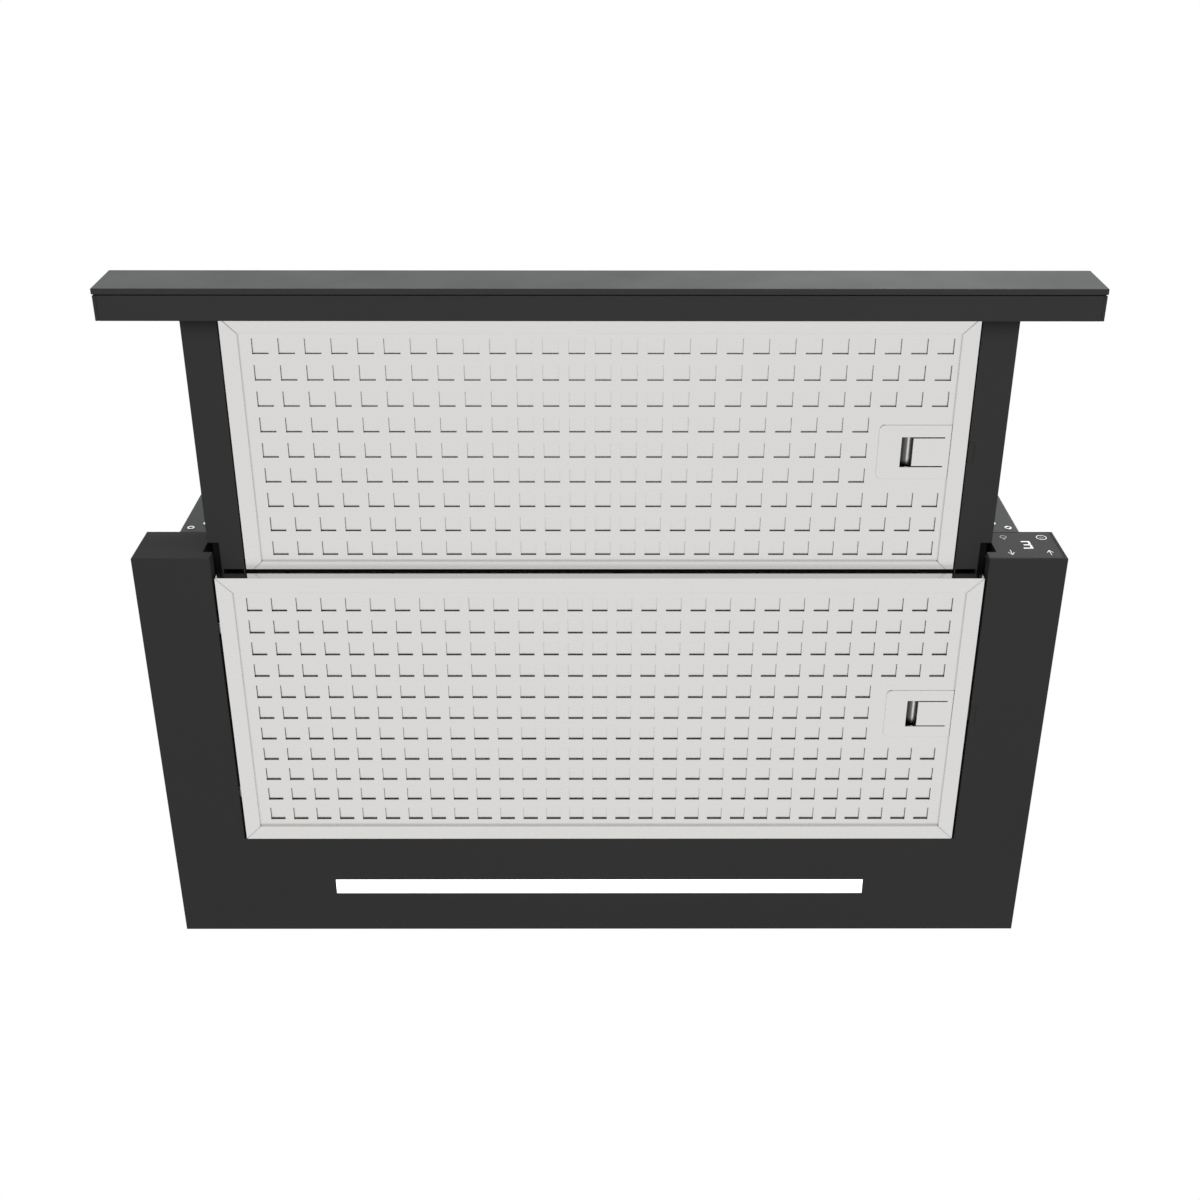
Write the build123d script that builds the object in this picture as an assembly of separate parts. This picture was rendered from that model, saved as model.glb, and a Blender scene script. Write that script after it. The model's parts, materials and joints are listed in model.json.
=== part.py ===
from build123d import *
import math
import os

# A telescopic range hood for a 60 cm wall cabinet.
# Frame: X to the right as the cook sees it, Y towards the wall, Z up.
# The origin is on the wall face, at the middle of the body's lower edge.
# The hood is drawn with its drawer pulled out, as it is used. Sizes are in millimetres.

# Body, the flat tray that hangs under the cabinet
BODY_W = 600.0
BODY_D = 299.5
BODY_H = 41.0
SHEET = 1.0                 # painted steel sheet
PANEL_T = 2.5               # control panel thickness
PANEL_EDGE = 2.4            # folded edge right of the panel
PANEL_GAP = 0.3
BOARD_T = 1.6
BOARD_EDGE = 3.0            # display board to the rail's walls
BOARD_WINDOW = 5.0          # rail's walls to the window behind the panel
DISPLAY_W = 14.0
DISPLAY_LOW = 9.0
DISPLAY_H = 21.0

# Housing, the tall box inside the cabinet
HOUSING_W = 559.0
HOUSING_TOP = 240.0
HOUSING_SETBACK = 2.0       # front plate behind the body's front
FLANGE_W = 15.0
FRONT_FLANGE_W = 20.0       # flange behind the front plate
FRONT_SCREW_IN = 6.1        # front plate screws from the housing's side
FRONT_SCREW_UP = 10.0       # and from its foot and top
SECOND_SCREW_IN = 15.2
SECOND_SCREW_UP = 17.0
BASE_SCREW_IN = 30.0        # foot screws from the body's front and rear

# Drawer
DRAWER_Z = 10.2             # underside of the drawer
DRAWER_H = 27.5
TRAVEL = 155.0
ARM_HALF = 252.4            # outer side of the arms' wide front stretch
TAIL_HALF = 245.2           # outer side of the arms' narrow rear stretch
STEP_BEHIND_FRONT = 6.2     # end of the wide stretch, in front of the body
OPENING_HALF = 256.0        # side of the body's drawer opening
RUN_GAP = 0.4               # running gap under the drawer
CLOSED_GAP = 1.3            # bar to body when shut
TAIL_GAP = 3.0              # arm end to wall face when shut
TAIL_FLANGE = 11.0          # top flange along the arms' rear stretch
CROSS_LIP = 6.0             # height of the rear cross piece's lip
BUMPER_W = 9.0
RIVET_R = 2.2
RIVET_H = 0.6
RIVET_IN = 12.0             # rivet from the wide stretch's ends
SENSOR_L = 20.0
SENSOR_T = 3.0
SENSOR_H = 10.0
SENSOR_UP = 6.0             # sensor and magnet above the drawer's underside
SENSOR_AT = 10.0            # sensor behind the body's front
MAGNET_L = 10.0

# Front bar
BAR_W = 598.6
BAR_H = 40.7
BAR_T = 15.4
TRIM_T = 3.6
TRIM_GROOVE = 0.7
TRIM_OVERHANG = 0.4
TRIM_CHAMFER = 0.4
GROOVE_DEEP = 2.0
GROOVE_END = 0.8
BAR_WALL = 1.5
CAP_T = 2.0
PLUG_L = 10.0               # cap's spigot inside the bar
BAR_SCREW_IN = 12.0         # bar screws from the filter bay's side
BAR_SCREW_DOWN = 6.0        # and from the drawer's top

# Filters
FILTER_H = 8.6
BORDER = 10.4               # width of the frame round the perforated face
FILTER_SHEET = 0.8
FACE_T = 0.6                # perforated face
FACE_RECESS = 2.0           # face behind the frame's underside
BACK_LEVEL = 3.65           # second sheet above the frame's underside
HOLE = 10.0
BACK_HOLE = 5.0
FIT_GAP = 0.2               # sheet edge to frame wall
MITRE_GAP = 0.15            # seam between two bars of a frame

FIXED_W = 496.3
FIXED_D = 205.0
FIXED_SETBACK = 14.2
FIXED_BAY_GAP = 1.6
FIXED_COLUMNS = 29
FIXED_ROWS = 11
FIXED_PITCH_X = 16.06
FIXED_PITCH_Y = 16.46
FIXED_LATCH_AT = 102.9      # latch middle behind the filter's front

PULL_W = 458.8
PULL_D = 168.6
PULL_BAY_GAP = 0.8
PULL_COLUMNS = 27
PULL_ROWS = 9
PULL_PITCH_X = 16.01
PULL_PITCH_Y = 16.92
PULL_LATCH_AT = 87.6
PULL_PATTERN_SHIFT = 1.9    # hole pattern off the middle
PULL_REAR_BORDER = 5.4
PULL_FRONT_GAP = 0.4
PULL_FIRST_HOLE = 3.6       # first holes behind the front border

# Filter latch
PAD_H = 0.7
PAD_HALF = 18.0
PAD_LEAD = 14.55            # pad edge to finger opening
PAD_RADIUS = 3.3
FINGER_W = 7.25
FINGER_L = 20.0
TONGUE_L = 19.6
TONGUE_END = 14.15          # tongue root to the filter's outer edge
SLIT = 0.7
BOLT_HALF = 6.0
BOLT_LOW = 3.0
BOLT_HIGH = 3.8
LATCH_TRAVEL = 2.2
BOLT_SPARE = 0.6            # travel left once the bolt has left the bay wall
LATCH_HALF = 12.0           # half width of the latch plate behind the face
RAIL_W = 1.8                # rails beside the latch's window
WINDOW_END = 11.0           # end of the latch's window past the finger opening
WIDE_END = 13.0             # end of the latch's wide stretch past the finger opening
GRIP_COVER = 0.2            # grip's inside past the finger opening's sides
GRIP_T = 0.8
GRIP_HALF = 10.4
LUG_AT = 2.0                # spring lug past the finger opening
LUG_T = 1.0
LUG_HALF = 2.6
SPRING_HALF = 2.4
SPRING_TURNS = 6
WIRE = 0.5
HOOK_HALF = 4.0
HOOK_REACH = 2.6
HOOK_INSET = 38.0           # hook from the filter's front or rear edge
HOOK_RISE = 1.7             # slot height above a hook
CLEAR = 0.5                 # clearance round bolts and hooks in their slots
KEEPER_OUT = 3.6            # notch for the keeper, out from the bay wall
KEEPER_WINDOW = 6.0
KEEPER_GAP = 0.1
KEEPER_T = 0.8

# Drawer slides
SLIDE_L = 144.0
SLIDE_LOW = 13.0
SLIDE_HIGH = 37.0
SLIDE_STEP = 1.5            # gap from one member to the next, top and bottom
SLIDE_SHEET = 1.0
SLIDE_SIDE_GAP = 1.3
SLIDE_FLANGE = 6.2          # reach of the outer member's flanges
SLIDE_REAR = 4.0            # slide end to wall face

# Lamp
LAMP_W = 376.8
LAMP_D = 12.0
LAMP_BEHIND_FRONT = 260.9   # lamp middle behind the body's front
LAMP_FLANGE = 3.0
LAMP_T = 2.5
LAMP_FIT = 0.1              # lens to the tray's cut-out
HOLDER_GAP = 0.3            # lens flange to its holder
LED_BOARD_W = 10.0
LED_BOARD_T = 1.2
LED_COUNT = 24
LED_SIZE = 3.0
LED_H = 0.8
DRIVER_X = 145.0            # middle of the lamp's driver
DRIVER_Z = 76.0
DRIVER_L = 70.0
DRIVER_T = 22.0
DRIVER_H = 32.0
DRIVER_RIM = 4.0            # rim round the sunk field on the driver's lid
DRIVER_SUNK = 2.0

# Blower
AXIS_Y = -172.0
AXIS_Z = 130.0
WHEEL_R = 62.0
WHEEL_HALF = 54.0
BLADES = 36
BLADE_L = 10.0
BLADE_T = 1.2
BLADE_IN = 0.5              # blades inside the wheel's rim
BLADE_TURN = 35.0
DISC_T = 2.0
END_RING_T = 2.0
HUB_R = 9.0
HUB_HALF = 12.0
SHAFT_R = 4.0
SCROLL_R = 78.0
SCROLL_SHIFT_Y = 5.0
SCROLL_SHIFT_Z = -2.0
SCROLL_HALF = 62.0
SCROLL_WALL = 2.0
SCROLL_FLANGE_X = 10.0      # top flange, out from the scroll's sides
SCROLL_FLANGE_Y = 4.0       # and from its front and rear
SCROLL_FLANGE_T = 2.0
SCROLL_SCREW_Y = 38.0       # screws in front of and behind the outlet's middle
INLET_R = 50.0
INLET_RIM = 3.0             # height and width of the rim round the inlet
OUTLET_D = 86.0
MOTOR_R = 34.0
MOTOR_L = 54.0
MOTOR_OUT = 58.0            # motor's inner end from the middle
MOTOR_CAP = 8.0             # motor's closed end behind the shaft
SHAFT_END_GAP = 2.0
FIN_COUNT = 3
FIN_FIRST = 6.0
FIN_PITCH = 5.0
FIN_W = 2.0
FIN_DEEP = 3.0
RUN_FIT = 0.05              # radial clearance of running fits
MOUNT_OUT = 7.0             # rubber posts outside the inlet's edge
MOUNT_POST = 4.0
MOUNT_WAIST_L = 4.0
MOUNT_WAIST_DEEP = 1.2
BRACKET_T = 3.0
BRACKET_X = 80.0
BRACKET_RING = 4.0
BRACKET_ARM = 10.0
BRACKET_EYE = 2.0           # bracket round a rubber post

# Duct spigot and its two flaps
SPIGOT_R = 60.0
SPIGOT_WALL = 1.5
SPIGOT_H = 45.0
SPIGOT_FLANGE_R = 72.0
STOP_H = 4.5
STOP_W = 3.0
FLAP_T = 1.0
FLAP_GAP = 1.0
FLAP_REST = 0.1             # flap above its stop ring
FLAP_HINGE = 0.8            # flap's straight edge from the knuckles
PIN_R = 1.2
KNUCKLE_R = 2.2
KNUCKLE_L = 10.0
KNUCKLE_FRONT = 30.0
KNUCKLE_REAR = 14.0
STOP_T = 1.5
PIN_IN = 1.0                # blind end of the pin's bore inside the spigot's wall
BOSS_L = 7.0                # pin boss, inwards from the spigot's outside
BOSS_HALF = 3.5
FLAP_NOTCH = 6.0            # half width of the flaps' notch round a boss

# Cable gland and the power box under it
GLAND_X = 200.0
GLAND_Y = -230.0
GLAND_BORE = 4.5
GLAND_THREAD_R = 8.0
GLAND_THREAD_L = 10.0
GLAND_HEX_R = 11.5
GLAND_HEX_H = 6.0
GLAND_DOME_R = 9.5
GLAND_DOME_H = 14.0
GLAND_NUT_H = 4.0
POWER_BOX_W = 90.0
POWER_BOX_D = 70.0
POWER_BOX_H = 42.0
POWER_BOX_WALL = 2.0

# Fasteners
SCREW_R = 1.8
SCREW_L = 6.0
HEAD_R = 3.2
HEAD_H = 1.6
FLAT_HEAD_R = 2.5           # front plate screws
FLAT_HEAD_H = 0.6
DRIVE_R = 1.2               # recess in a screw's head
DRIVE_DEEP = 1.2
CABINET_HOLE_R = 2.5
CABINET_HOLE_PITCH = 200.0
CABINET_HOLE_Z = 90.0

FRONT = -BODY_D
BAR_BACK = FRONT - TRAVEL - CLOSED_GAP
TRIM_FRONT = BAR_BACK - BAR_T - TRIM_GROOVE - TRIM_T
FIXED_BAY = FIXED_W / 2 + FIXED_BAY_GAP
FIXED_FRONT = FRONT + FIXED_SETBACK
CUT_REAR = FIXED_FRONT + FIXED_D + FIT_GAP
PULL_BAY = PULL_W / 2 + PULL_BAY_GAP
PULL_FRONT = BAR_BACK + PULL_FRONT_GAP
PULL_REAR = PULL_FRONT + PULL_D
LIP_TOP = DRAWER_Z - RUN_GAP
DRAWER_TOP = DRAWER_Z + DRAWER_H
STEP_Y = FRONT - STEP_BEHIND_FRONT
TAIL_END = -TAIL_GAP - TRAVEL
HOUSING_HALF = HOUSING_W / 2
PLATE_FRONT = FRONT + HOUSING_SETBACK
SCREW_HOLE = SCREW_R + RUN_FIT
MOUNT_R = INLET_R + MOUNT_OUT
PIN_Z = HOUSING_TOP + STOP_H + FLAP_GAP + FLAP_T
SLIDE_Y = -SLIDE_REAR - SLIDE_L

nodes = {}


def block(x0, x1, y0, y1, z0, z1):
    """A box between two corners."""
    middle = Pos((x0 + x1) / 2, (y0 + y1) / 2, (z0 + z1) / 2)
    return middle * Box(abs(x1 - x0), abs(y1 - y0), abs(z1 - z0))


def rod(axis, radius, start, end, u, v):
    """A cylinder from start to end along an axis; u and v place it on the other two axes."""
    length = end - start
    middle = (start + end) / 2
    if axis == "X":
        return Pos(middle, u, v) * Rot(0, 90, 0) * Cylinder(radius, length)
    if axis == "Y":
        return Pos(u, middle, v) * Rot(90, 0, 0) * Cylinder(radius, length)
    return Pos(u, v, middle) * Cylinder(radius, length)


def both(shape):
    """A shape and its mirror image on the other side of the middle plane."""
    return [shape, mirror(shape, about=Plane.YZ)]


def flip(shape):
    return mirror(shape, about=Plane.YZ)


def add(shapes):
    """All shapes fused."""
    result = shapes[0]
    for shape in shapes[1:]:
        result = result + shape
    return result


def cut(shape, tools):
    for tool in tools:
        shape = shape - tool
    return shape


def group(shapes):
    """Separate solids kept in one node."""
    solids = []
    for shape in shapes:
        solids.extend(shape.solids())
    return Compound(solids)


def plate(half_x, y0, y1, z0, z1):
    return block(-half_x, half_x, y0, y1, z0, z1)


# Body tray


def filter_bay_cuts(half, level, front, latch_y, hook_ys):
    """Slots in a bay's walls: hooks on the left, the latch bolt and its keeper on the right."""
    tools = []
    for y in hook_ys:
        middle = front + y
        reach = HOOK_HALF + CLEAR
        tools.append(block(-half - SHEET, -half, middle - reach, middle + reach,
                           level + BOLT_LOW - CLEAR, level + BOLT_HIGH + HOOK_RISE))
    side = BOLT_HALF + 2 * CLEAR
    middle = front + latch_y
    tools.append(block(half, half + KEEPER_OUT, middle - side, middle + side, level, level + SHEET))
    tools.append(block(half, half + SHEET, middle - side, middle + side, level, level + KEEPER_WINDOW))
    return tools


def keeper(half, level, front, latch_y, roof):
    """Spring clip under the latch bolt, hung from the sheet above or the wall beside it."""
    side = BOLT_HALF + 2 * CLEAR - KEEPER_GAP
    y0 = front + latch_y - side
    y1 = front + latch_y + side
    far = half + KEEPER_OUT - KEEPER_GAP
    foot = block(half + KEEPER_GAP, far, y0, y1, level, level + KEEPER_T)
    riser = block(far - KEEPER_T, far, y0, y1, level, roof)
    top = block(half + SHEET, far, y0, y1, roof - KEEPER_T, roof)
    return add([foot, riser, top])


def hook_places(depth):
    return (HOOK_INSET, depth - HOOK_INSET)


def base_frame():
    """Folded tray: underside, outer walls, hollow side rails with a lip, ledge for the housing."""
    half = BODY_W / 2
    tray = plate(half, FRONT, 0, 0, SHEET)
    tray -= plate(FIXED_BAY, FRONT, CUT_REAR, 0, SHEET)
    lamp_y = FRONT + LAMP_BEHIND_FRONT
    tray -= plate(LAMP_W / 2, lamp_y - LAMP_D / 2, lamp_y + LAMP_D / 2, 0, SHEET)
    tray += plate(half, -SHEET, 0, 0, BODY_H)
    tray += plate(FIXED_BAY, CUT_REAR, CUT_REAR + SHEET, 0, LIP_TOP)
    tray += plate(OPENING_HALF + SHEET, -FLANGE_W, 0, BODY_H - SHEET, BODY_H)
    rail = add([
        block(half - SHEET, half, FRONT, 0, 0, BODY_H),
        block(OPENING_HALF, half, FRONT, 0, BODY_H - SHEET, BODY_H),
        block(OPENING_HALF, OPENING_HALF + SHEET, FRONT, 0, LIP_TOP - SHEET, BODY_H),
        block(FIXED_BAY, OPENING_HALF + SHEET, FRONT, 0, LIP_TOP - SHEET, LIP_TOP),
        block(FIXED_BAY, FIXED_BAY + SHEET, FRONT, CUT_REAR + SHEET, 0, LIP_TOP),
    ])
    tray += rail
    tray += flip(rail)
    front_wall = block(OPENING_HALF, half, 0, SHEET, 0, BODY_H)
    front_wall += block(FIXED_BAY, OPENING_HALF + SHEET, 0, SHEET, 0, LIP_TOP)
    tray += Pos(0, FRONT, 0) * flip(front_wall)
    tray += Pos(0, FRONT + PANEL_T, 0) * front_wall
    tray += block(half - PANEL_EDGE, half, FRONT, FRONT + PANEL_T, 0, BODY_H)
    margin = SHEET + BOARD_WINDOW
    behind = FRONT + PANEL_T + SHEET
    tools = [block(OPENING_HALF + margin, half - margin, FRONT, behind, margin, BODY_H - margin)]
    tools.append(control_panel())
    tools += filter_bay_cuts(FIXED_BAY, 0, FIXED_FRONT, FIXED_LATCH_AT, hook_places(FIXED_D))
    for x, y in base_screw_places():
        tools.append(rod("Z", SCREW_HOLE, BODY_H - SHEET, BODY_H, x, y))
    return cut(tray, tools)


def base_screw_places():
    """Screws through the housing's foot flange into the tray's ledge."""
    x = HOUSING_HALF - FLANGE_W / 2
    places = []
    for y in (-BASE_SCREW_IN, FRONT / 2, FRONT + BASE_SCREW_IN):
        places.append((x, y))
        places.append((-x, y))
    return places


def control_panel():
    """Touch panel in the right rail's front, up to the drawer opening and the filter bay on its left."""
    inset = SHEET + PANEL_GAP
    high = block(OPENING_HALF, BODY_W / 2 - PANEL_EDGE, FRONT, FRONT + PANEL_T, inset, BODY_H - inset)
    low = block(FIXED_BAY, OPENING_HALF, FRONT, FRONT + PANEL_T, inset, LIP_TOP)
    return high + low


def control_board():
    """Touch and display board behind the panel."""
    edge = SHEET + BOARD_EDGE
    x0 = OPENING_HALF + edge
    x1 = BODY_W / 2 - edge
    back = FRONT + PANEL_T + SHEET
    board = block(x0, x1, back, back + BOARD_T, edge, BODY_H - edge)
    middle = (x0 + x1) / 2
    display = block(middle - DISPLAY_W / 2, middle + DISPLAY_W / 2, FRONT + PANEL_T, back,
                    DISPLAY_LOW, DISPLAY_LOW + DISPLAY_H)
    return board + display


# Housing


def housing_side():
    """Right side panel, with a foot flange for the tray and a front flange for the front plate."""
    front = PLATE_FRONT + SHEET
    inner = HOUSING_HALF - FLANGE_W
    front_inner = HOUSING_HALF - FRONT_FLANGE_W
    side = add([
        block(HOUSING_HALF - SHEET, HOUSING_HALF, front, -SHEET, BODY_H, HOUSING_TOP - SHEET),
        block(inner, HOUSING_HALF, front, -SHEET, BODY_H, BODY_H + SHEET),
        block(front_inner, HOUSING_HALF, front, front + SHEET, BODY_H, HOUSING_TOP - SHEET),
    ])
    tools = []
    for x, y in base_screw_places():
        tools.append(rod("Z", SCREW_HOLE, BODY_H, BODY_H + SHEET, x, y))
    for x, z in front_screw_places():
        tools.append(rod("Y", SCREW_HOLE, front, front + SHEET, x, z))
    for y in (FRONT / 2 - CABINET_HOLE_PITCH / 2, FRONT / 2 + CABINET_HOLE_PITCH / 2):
        tools.append(rod("X", CABINET_HOLE_R, HOUSING_HALF - SHEET, HOUSING_HALF, y, CABINET_HOLE_Z))
    return cut(side, tools)


def housing_back():
    return plate(HOUSING_HALF, -SHEET, 0, BODY_H, HOUSING_TOP - SHEET)


def housing_top():
    """Top panel with the air outlet, the gland's hole and screw holes."""
    low = HOUSING_TOP - SHEET
    top = plate(HOUSING_HALF, PLATE_FRONT + SHEET, 0, low, HOUSING_TOP)
    tools = [rod("Z", SPIGOT_R - SPIGOT_WALL, low, HOUSING_TOP, 0, spigot_y())]
    tools.append(rod("Z", GLAND_THREAD_R, low, HOUSING_TOP, GLAND_X, GLAND_Y))
    for x, y in collar_screw_places() + scroll_screw_places():
        tools.append(rod("Z", SCREW_HOLE, low, HOUSING_TOP, x, y))
    return cut(top, tools)


def front_screw_places():
    x = HOUSING_HALF - FRONT_SCREW_IN
    low = (HOUSING_HALF - SECOND_SCREW_IN, BODY_H + SECOND_SCREW_UP)
    places = [low, (-low[0], low[1])]
    for z in (BODY_H + FRONT_SCREW_UP, (BODY_H + HOUSING_TOP) / 2, HOUSING_TOP - FRONT_SCREW_UP):
        places.append((x, z))
        places.append((-x, z))
    return places


def housing_front_plate():
    cover = plate(HOUSING_HALF, PLATE_FRONT, PLATE_FRONT + SHEET, BODY_H, HOUSING_TOP)
    return cut(cover, [rod("Y", SCREW_HOLE, PLATE_FRONT, PLATE_FRONT + SHEET, x, z)
                       for x, z in front_screw_places()])


def screw_down(x, y, z, length, head_r=HEAD_R, head_h=HEAD_H):
    """Screw with its head above z and its shank below."""
    shank = rod("Z", SCREW_R, z - length, z, x, y)
    head = rod("Z", head_r, z, z + head_h, x, y)
    recess = rod("Z", DRIVE_R, z + head_h - DRIVE_DEEP, z + head_h, x, y)
    return shank + head - recess


def screw_up(x, y, z, length):
    return Pos(x, y, z) * Rot(180, 0, 0) * screw_down(0, 0, 0, length)


def screw_back(x, y, z, length, head_r, head_h):
    """Screw driven towards the wall, its head in front of y."""
    return Pos(x, y, z) * Rot(90, 0, 0) * screw_down(0, 0, 0, length, head_r, head_h)


def screw_front(x, y, z, length):
    """Screw driven away from the wall, its head behind y."""
    return Pos(x, y, z) * Rot(-90, 0, 0) * screw_down(0, 0, 0, length)


def front_plate_screws():
    return group([screw_back(x, PLATE_FRONT, z, SCREW_L, FLAT_HEAD_R, FLAT_HEAD_H)
                  for x, z in front_screw_places()])


def base_screws():
    return group([screw_down(x, y, BODY_H + SHEET, SCREW_L) for x, y in base_screw_places()])


# Blower


def outlet_front():
    return AXIS_Y + SCROLL_SHIFT_Y + SCROLL_R - OUTLET_D


def spigot_y():
    """The spigot stands over the middle of the scroll's outlet."""
    return outlet_front() + OUTLET_D / 2


def scroll_body(inset, x0, x1, top):
    """The scroll's outline, shrunk by inset, drawn from x0 to x1."""
    y = AXIS_Y + SCROLL_SHIFT_Y
    z = AXIS_Z + SCROLL_SHIFT_Z
    drum = rod("X", SCROLL_R - inset, x0, x1, y, z)
    neck = block(x0, x1, outlet_front() + inset, outlet_front() + OUTLET_D - inset, z, top)
    return drum + neck


def scroll_screw_places():
    x = SCROLL_HALF + SCROLL_FLANGE_X / 2
    front = spigot_y() - SCROLL_SCREW_Y
    rear = spigot_y() + SCROLL_SCREW_Y
    return [(x, front), (x, rear), (-x, front), (-x, rear)]


def scroll_half():
    """Right half of the blower scroll, with its inlet ring and its share of the top flange."""
    top = HOUSING_TOP - SHEET
    shell = scroll_body(0, 0, SCROLL_HALF, top)
    rim = SCROLL_HALF + INLET_RIM
    shell += block(0, SCROLL_HALF + SCROLL_FLANGE_X, outlet_front() - SCROLL_FLANGE_Y,
                   outlet_front() + OUTLET_D + SCROLL_FLANGE_Y, top - SCROLL_FLANGE_T, top)
    shell += rod("X", INLET_R + INLET_RIM, SCROLL_HALF, rim, AXIS_Y, AXIS_Z)
    tools = [scroll_body(SCROLL_WALL, 0, SCROLL_HALF - SCROLL_WALL, top)]
    tools.append(rod("X", INLET_R, SCROLL_HALF - SCROLL_WALL, rim, AXIS_Y, AXIS_Z))
    for x, y in scroll_screw_places():
        if x > 0:
            tools.append(rod("Z", SCREW_HOLE, top - SCROLL_FLANGE_T, top, x, y))
    return cut(shell, tools)


def scroll_screws():
    under = HOUSING_TOP - SHEET - SCROLL_FLANGE_T
    return group([screw_up(x, y, under, SCREW_L) for x, y in scroll_screw_places()])


def bracket_angles():
    return (90, 210, 330)


def polar(radius, angle):
    """A point round the blower axis, as Y and Z."""
    turn = math.radians(angle)
    return AXIS_Y + radius * math.cos(turn), AXIS_Z + radius * math.sin(turn)


def motor():
    """Induction motor with a finned rear cap and a bore for its shaft."""
    x1 = -MOTOR_OUT
    x0 = x1 - MOTOR_L
    can = rod("X", MOTOR_R, x0, x1, AXIS_Y, AXIS_Z)
    for step in range(FIN_COUNT):
        a = x0 + FIN_FIRST + FIN_PITCH * step
        b = a + FIN_W
        can -= rod("X", MOTOR_R, a, b, AXIS_Y, AXIS_Z) - rod("X", MOTOR_R - FIN_DEEP, a, b, AXIS_Y, AXIS_Z)
    return can - rod("X", SHAFT_R + RUN_FIT, x0 + MOTOR_CAP, x1, AXIS_Y, AXIS_Z)


def motor_bracket():
    """Ring round the motor with three arms."""
    x0 = -BRACKET_X - BRACKET_T
    x1 = -BRACKET_X
    ring = rod("X", MOTOR_R + BRACKET_RING, x0, x1, AXIS_Y, AXIS_Z)
    for angle in bracket_angles():
        y, z = polar((MOTOR_R + MOUNT_R) / 2, angle)
        arm = Box(BRACKET_T, MOUNT_R - MOTOR_R, BRACKET_ARM)
        ring += Pos((x0 + x1) / 2, y, z) * Rot(angle, 0, 0) * arm
        y, z = polar(MOUNT_R, angle)
        ring += rod("X", MOUNT_POST + BRACKET_EYE, x0, x1, y, z)
    return ring - rod("X", MOTOR_R, x0, x1, AXIS_Y, AXIS_Z)


def motor_mounts():
    """Three rubber posts between the bracket and the scroll's side."""
    posts = []
    a = -(BRACKET_X + SCROLL_HALF + MOUNT_WAIST_L) / 2
    b = a + MOUNT_WAIST_L
    for angle in bracket_angles():
        y, z = polar(MOUNT_R, angle)
        post = rod("X", MOUNT_POST, -BRACKET_X, -SCROLL_HALF, y, z)
        post -= rod("X", MOUNT_POST, a, b, y, z) - rod("X", MOUNT_POST - MOUNT_WAIST_DEEP, a, b, y, z)
        posts.append(post)
    return group(posts)


def impeller():
    """Double-inlet blower wheel: hub, centre disc, blades and two end rings."""
    wheel = rod("X", WHEEL_R, -DISC_T / 2, DISC_T / 2, AXIS_Y, AXIS_Z)
    wheel += rod("X", HUB_R, -HUB_HALF, HUB_HALF, AXIS_Y, AXIS_Z)
    blade = Rot(BLADE_TURN, 0, 0) * Box(2 * WHEEL_HALF - END_RING_T, BLADE_L, BLADE_T)
    blade = Pos(0, WHEEL_R - BLADE_IN - BLADE_L / 2, 0) * blade
    blades = []
    for count in range(BLADES):
        blades.append(Pos(0, AXIS_Y, AXIS_Z) * Rot(360 * count / BLADES, 0, 0) * blade)
    wheel = wheel + blades
    inner = WHEEL_HALF - END_RING_T
    ring = rod("X", WHEEL_R, inner, WHEEL_HALF, AXIS_Y, AXIS_Z)
    ring -= rod("X", WHEEL_R - BLADE_L, inner, WHEEL_HALF, AXIS_Y, AXIS_Z)
    wheel = wheel + both(ring)
    return wheel - rod("X", SHAFT_R, -HUB_HALF, HUB_HALF, AXIS_Y, AXIS_Z)


def motor_shaft():
    start = -MOTOR_OUT - MOTOR_L + MOTOR_CAP + SHAFT_END_GAP
    return rod("X", SHAFT_R, start, HUB_HALF, AXIS_Y, AXIS_Z)


# Duct spigot


def collar_screw_places():
    places = []
    for angle in (60, 120, 240, 300):
        turn = math.radians(angle)
        radius = (SPIGOT_R + SPIGOT_FLANGE_R) / 2
        places.append((radius * math.cos(turn), spigot_y() + radius * math.sin(turn)))
    return places


def outlet_collar():
    """Round spigot for the duct, with a stop ring and two bosses for the flap pin."""
    y = spigot_y()
    inner = SPIGOT_R - SPIGOT_WALL
    top = HOUSING_TOP + SPIGOT_H
    collar = rod("Z", SPIGOT_FLANGE_R, HOUSING_TOP, HOUSING_TOP + SPIGOT_WALL, 0, y)
    collar += rod("Z", SPIGOT_R, HOUSING_TOP, top, 0, y)
    collar -= rod("Z", inner - STOP_W, HOUSING_TOP, top, 0, y)
    collar -= rod("Z", inner, HOUSING_TOP, HOUSING_TOP + STOP_H - STOP_T, 0, y)
    collar -= rod("Z", inner, HOUSING_TOP + STOP_H, top, 0, y)
    boss = block(SPIGOT_R - BOSS_L, SPIGOT_R - SPIGOT_WALL / 2, y - BOSS_HALF, y + BOSS_HALF,
                 HOUSING_TOP + STOP_H - STOP_T, PIN_Z + BOSS_HALF)
    collar = collar + both(boss)
    tools = [rod("X", PIN_R + RUN_FIT, PIN_IN - inner, inner - PIN_IN, y, PIN_Z)]
    for sx, sy in collar_screw_places():
        tools.append(rod("Z", SCREW_HOLE, HOUSING_TOP, HOUSING_TOP + SPIGOT_WALL, sx, sy))
    return cut(collar, tools)


def collar_screws():
    return group([screw_down(x, y, HOUSING_TOP + SPIGOT_WALL, SCREW_L) for x, y in collar_screw_places()])


def flap_pin():
    reach = SPIGOT_R - SPIGOT_WALL - PIN_IN - RUN_FIT
    return rod("X", PIN_R, -reach, reach, spigot_y(), PIN_Z)


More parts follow.
